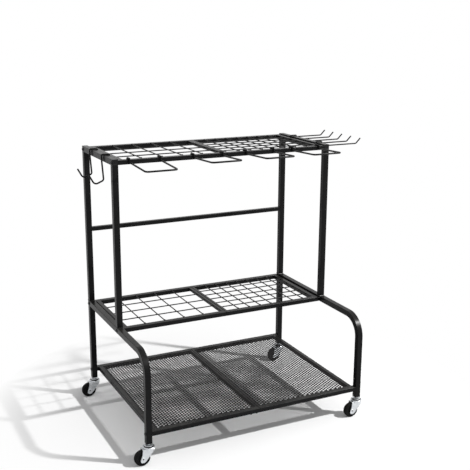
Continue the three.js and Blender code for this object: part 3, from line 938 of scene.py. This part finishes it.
def pressed_fork(x, y):
    """The zinc fork: a crown with two legs pressed down from it, and the ball race on top."""
    start_fresh()
    bpy.ops.mesh.primitive_cube_add(
        size=1,
        location=at(x + (crown_low + crown_high) / 2, y, crown_top - crown_sheet / 2),
        scale=mm(crown_high - crown_low, 2 * (fork_half - fork_bend), crown_sheet),
    )
    fork = settle()
    for way in BOTH_WAYS:
        press_leg(fork, x, y, way)
    choose(fork, "points")
    merge_points(0.01)
    close()
    for way in BOTH_WAYS:
        choose(fork, "faces")
        slant = Vector((1, way, 0)).normalized()
        bpy.ops.mesh.bisect(
            plane_co=at(x, y, crown_top) + slant * crown_corner / 1000, plane_no=slant,
            use_fill=True, clear_outer=True,
        )
        close()
    facing_out(fork)
    angle = math.radians(40)
    modified(
        fork, "BEVEL", width=fine_edge / 1000, segments=2, limit_method="ANGLE", angle_limit=angle
    )
    race_profile = [
        (57.3, 13.2), (60.2, 13.2), (60.3, 18.3), (60.7, 19.6), (61.5, 19.98), (62.7, 19.7),
        (63.4, 18.8), (63.7, 17.2), (63.8, 13), (66.9, 13), (67, 14.4), (67.5, 14.9),
        (68.4, 14.8), (68.9, 14.2), (69, 9), (68.8, 6),
    ]
    return smoothed(joined([fork, on_stem(x, y, race_profile, 48)]), 40)


def caster_stem(x, y):
    nut = on_stem(x, y, [(70.5, 6.9), (70.9, 7.5), (73.2, 7.5), (73.6, 7)], 6)
    rivet = on_stem(x, y, [(54.3, 5.5), (54.8, 7.2), (56, 7.5), (56.2, 4)], 24)
    shaft = on_stem(x, y, [(56, 4), (74, 4)], 24)
    return smoothed(joined([nut, rivet, shaft]), 38)


def race_shade_rings(x, y):
    """Black rings painted as the shade in the gaps above and below the ball race."""
    low = on_stem(x, y, [(58.3, 13.3), (58.5, 14.2), (59.9, 14.2), (60.2, 13.3)], 48)
    high = on_stem(x, y, [(63.5, 13.2), (63.9, 16.2), (64.5, 16.3), (66.6, 14.3), (67, 13.2)], 48)
    return smoothed(joined([low, high]), 40)


def leg_insert(x, y):
    """The moulded insert in the leg's foot, which holds the caster's stem."""
    plug_half = half_tube - tube_wall - 0.4

    def square(half, low, high, rounding, segments):
        return block((x - half, y - half, low), (x + half, y + half, high), rounding, segments)

    collar = square(half_tube, leg_foot - 1.4, leg_foot - 0.1, 0.5, 3)
    plug = square(plug_half, leg_foot - 0.2, leg_foot + 25, 1, 2)
    return smoothed(joined([collar, plug]), 38)


def caster_axle(x, y):
    head = ((1.6, 1.2), (1.55, 2.4), (1.25, 3.4), (0.75, 4.1), (0.35, 4.3), (0.3, 2.5))
    half = [(-(fork_half + d), r) for d, r in head]
    return smoothed(on_axle(x, y, mirrored(half), 24), 38)


def axle_end(x, y):
    """The dark end of the axle in the middle of its riveted head, on both sides."""
    end = ((0.9, 1.2), (0.9, 2.5), (1.75, 2.5), (1.85, 1.9))
    profile = [(fork_half + d, r) for d, r in end]
    return smoothed(joined([on_axle(x, y, profile, 20, way) for way in BOTH_WAYS]), 38)


def caster_wheel(x, y):
    """A wheel with a raised hub, a sunk face and a rounded tread, open along its bore."""
    half = [(-6.4, 3), (-6.8, 6.8), (-6.3, 7.6), (-6, 8.4), (-6, 15.4), (-6.6, 16.4), (-7.8, 17),
            (-8.25, 18), (-8.25, 22), (-7.8, 24), (-6.8, 25.4), (-5.2, 26.3), (-3.2, 26.7)]
    return smoothed(on_axle(x, y, mirrored(half), 64, bore=True), 30)


def build_casters():
    """Makes each piece once at the front left, and copies it to all four legs."""
    x0, y0 = -side_centre, -lower_depth + half_tube
    details = [
        ("stem", caster_stem(x0, y0), "rack", "zinc_plate"),
        ("fork", pressed_fork(x0, y0), "swivel", "zinc_plate"),
        ("axle", caster_axle(x0, y0), "swivel", "zinc_plate"),
        ("axle_end", axle_end(x0, y0), "swivel", "black_bolt"),
        # The race's black rings are painted shade, where the gaps above and below the ball race lie
        # in shadow.
        ("race_shade_rings", race_shade_rings(x0, y0), "swivel", "black_bolt"),
        ("wheel", caster_wheel(x0, y0), "wheel", "wheel_rubber"),
    ]
    insert = leg_insert(x0, y0)
    corners = {"front_left": (x0, y0), "front_right": (-x0, y0),
               "back_left": (x0, -half_tube), "back_right": (-x0, -half_tube)}
    for place, (x, y) in corners.items():
        shift = (x - x0, y - y0, 0)
        twin = copied(insert, f"{place}_insert", shift)
        placed(twin, f"{place}_leg_insert", "rack", "black_coat", material=cap_plastic)
        for kind, model, body, slot in details:
            twin = copied(model, f"{place}_{kind}", shift)
            owner = body if body == "rack" else f"{place}_{body}"
            node = f"{place}_caster_{kind}"
            if slot == "black_bolt":
                placed(twin, node, owner, slot, material=cap_plastic)
            else:
                placed(twin, f"{node}_detail", owner, slot, [node])
    for model in [insert] + [detail[1] for detail in details]:
        bpy.data.objects.remove(model)


# Hooks

# How thick the rods are: the plain size sets how far a hook stands off its rail, and the other is
# the finished size.
loop_rod, loop_finished = 5.5, 6.1
hook_rod, side_finished, prong_finished = 5, 5.6, 4.8
rod_gap = 0.4
loop_width = 107
loop_length = 147
prong_pitch = 61


def loop_hook(x, tip_rise):
    """A clip over the front rail at each end, joined by a long flat loop in front of it."""
    reach = loop_rod / 2 + rod_gap
    behind = grid_front + reach
    ahead = -upper_depth - reach
    over = shelf_tops["top"] + reach
    arm = shelf_tops["top"] - 9
    tip = -upper_depth - loop_length

    def clip(across):
        side_view = ((behind, over - 11), (behind, over), (ahead, over), (ahead, arm),
                     (tip, arm + tip_rise))
        return [(across, y, z) for y, z in side_view]

    corners = clip(x) + clip(x + loop_width)[::-1]
    clip_bends = [4.5, 4.5, 4.5]
    return smoothed(rod(corners, clip_bends + [11, 11] + clip_bends, loop_finished), 50)


def side_hook(y):
    """A clip over the side rail, with a long shank down the side and an upturned foot."""
    reach = hook_rod / 2 + rod_gap
    inside = -side_inner + reach
    outside = -half_width - 4
    over = rack_top + reach
    foot_x, foot_z = outside + 4.5, rack_top - 83
    front_view = ((inside, over - 13), (inside, over), (outside, over), (outside, rack_top - tube),
                  (foot_x, foot_z), (foot_x - 31, foot_z - 13), (foot_x - 50, foot_z + 21))
    corners = [(x, y, z) for x, z in front_view]
    return smoothed(rod(corners, [4, 4, 13, 8, 13], side_finished), 50)


def prong_hook():
    """Five upturned prongs on one bar along the right rail, with two clips over it."""
    reach = hook_rod / 2 + rod_gap
    bar_x, bar_z = half_width + reach, rack_top - 8
    bend_x, first_y = half_width + 131, -64
    corners = [(bar_x, first_y, bar_z), (bend_x, first_y, bar_z), (bend_x + 19, first_y, bar_z + 19)]
    prong = rod(corners, [8], prong_finished)
    pieces = [prong] + [copied(prong, "prong", (0, -prong_pitch * i, 0)) for i in range(1, 5)]
    pieces.append(rod([(bar_x, -316, bar_z), (bar_x, -56, bar_z)], [], prong_finished))
    inside = side_inner - reach
    over = rack_top + reach
    for y in (-94, -278):
        corners = [(inside, y, over - 13), (inside, y, over), (bar_x, y, over), (bar_x, y, bar_z - 1)]
        pieces.append(rod(corners, [4, 4], prong_finished))
    return smoothed(joined(pieces), 50)


def build_hooks():
    loops = (("far_left_loop", -349, -7), ("left_loop", -123.5, 6), ("right_loop", 73, 6),
             ("far_right_loop", 255.4, 6))
    for name, x, tip_rise in loops:
        placed(loop_hook(x, tip_rise), f"{name}_rod", name, "black_rod", [f"{name}_hook"])
    for name, y in (("rear_side", -105), ("front_side", -235)):
        placed(side_hook(y), f"{name}_rod", name, "black_rod", [f"{name}_hook"])
    placed(prong_hook(), "five_prong_rods", "five_prong_rest", "black_rod", ["five_prong_hook"])


build_side_frames()
build_shelves()
build_frame_bolts()
build_seam_bolts()
build_rail_screws()
build_casters()
build_hooks()


# Floor, light and camera


def build_floor():
    """A pale floor that fades to pure white away from the rack."""
    start_fresh()
    bpy.ops.mesh.primitive_plane_add(size=14, location=(0, 0, 0))
    floor = settle()
    floor.name = "studio_floor"
    material = bpy.data.materials.new("pale_floor")
    material.use_nodes = True
    tree = material.node_tree
    shader = tree.nodes["Principled BSDF"]
    shader.inputs["Roughness"].default_value = 0.9
    shader.inputs["Specular IOR Level"].default_value = 0.0
    grain = object_noise(tree, 3.0, 3.0, 0.5)
    pale = mixed_colour(tree, grain, (0.92, 0.92, 0.92), (0.95, 0.95, 0.95))
    tree.links.new(pale, shader.inputs["Base Color"])
    white = add_node(tree, "ShaderNodeEmission", {"Color": (1, 1, 1, 1), "Strength": 1.0})
    place = tree.nodes.new("ShaderNodeTexCoord").outputs["Object"]
    distance = add_node(tree, "ShaderNodeVectorMath", {0: place}, operation="LENGTH").outputs["Value"]
    fade = between(tree, distance, 0.58, 0.92)
    share = math_node(tree, "MULTIPLY", fade, seen_by_eye(tree))
    surfaces = {0: share, 1: shader.outputs[0], 2: white.outputs[0]}
    blend = add_node(tree, "ShaderNodeMixShader", surfaces)
    tree.links.new(blend.outputs[0], tree.nodes["Material Output"].inputs["Surface"])
    floor.data.materials.append(material)


def build_world():
    """White all round to the eye, and a softer light on the rack."""
    world = bpy.data.worlds.new("studio")
    bpy.context.scene.world = world
    world.use_nodes = True
    tree = world.node_tree
    tree.nodes.clear()
    soft = add_node(tree, "ShaderNodeBackground", {"Color": (1, 1, 1, 1), "Strength": 0.44})
    white = add_node(tree, "ShaderNodeBackground", {"Color": (1, 1, 1, 1), "Strength": 1.0})
    lights = {0: seen_by_eye(tree), 1: soft.outputs[0], 2: white.outputs[0]}
    blend = add_node(tree, "ShaderNodeMixShader", lights)
    out = add_node(tree, "ShaderNodeOutputWorld")
    tree.links.new(blend.outputs[0], out.inputs["Surface"])


def add_lamp(name, place, aim, size, power):
    """A square lamp at a place in metres, aimed at a point."""
    light = bpy.data.lights.new(name, "AREA")
    light.shape = "RECTANGLE"
    light.size = size
    light.size_y = size
    light.energy = power
    lamp = bpy.data.objects.new(name, light)
    bpy.context.scene.collection.objects.link(lamp)
    lamp.location = place
    lamp.rotation_euler = (Vector(aim) - Vector(place)).to_track_quat("-Z", "Y").to_euler()
    lamp.visible_camera = False
    return lamp


def add_lamps():
    add_lamp("key", (4.3, -3.5, 5.9), (0, -0.1, 0), 0.22, 600)
    add_lamp("fill", (-2.6, -2.8, 1.8), (0, 0, 0.5), 2.0, 12)
    # This one shows only as a highlight, and widens the key's.
    glow = add_lamp("key_glow", (4.1, -3.7, 5.4), (0.4, -0.25, 0.35), 1.5, 430)
    glow.visible_diffuse = False


def build_camera():
    """The place, turn and lens that bring the rack's corners where the photograph has them."""
    yaw, pitch, roll = (math.radians(a) for a in (26.5, -14.53, 0.33))
    level = math.cos(pitch)
    forward = Vector((math.sin(yaw) * level, math.cos(yaw) * level, math.sin(pitch)))
    right = forward.cross(Vector((0, 0, 1))).normalized()
    up = right.cross(forward)
    across = right * math.cos(roll) + up * math.sin(roll)
    upward = up * math.cos(roll) - right * math.sin(roll)
    camera = bpy.data.cameras.new("photo_camera")
    camera.sensor_fit = "HORIZONTAL"
    camera.sensor_width = 36
    camera.lens = 65.62
    eye = bpy.data.objects.new("photo_camera", camera)
    bpy.context.scene.collection.objects.link(eye)
    turn = eye.matrix_world.to_3x3()
    turn.col[0], turn.col[1], turn.col[2] = across, upward, -forward
    eye.matrix_world = turn.to_4x4()
    eye.location = at(-1260.5, -2922.65, 1403.76)
    bpy.context.scene.camera = eye


build_floor()
build_world()
add_lamps()
build_camera()
bpy.context.scene.view_settings.view_transform = "Standard"
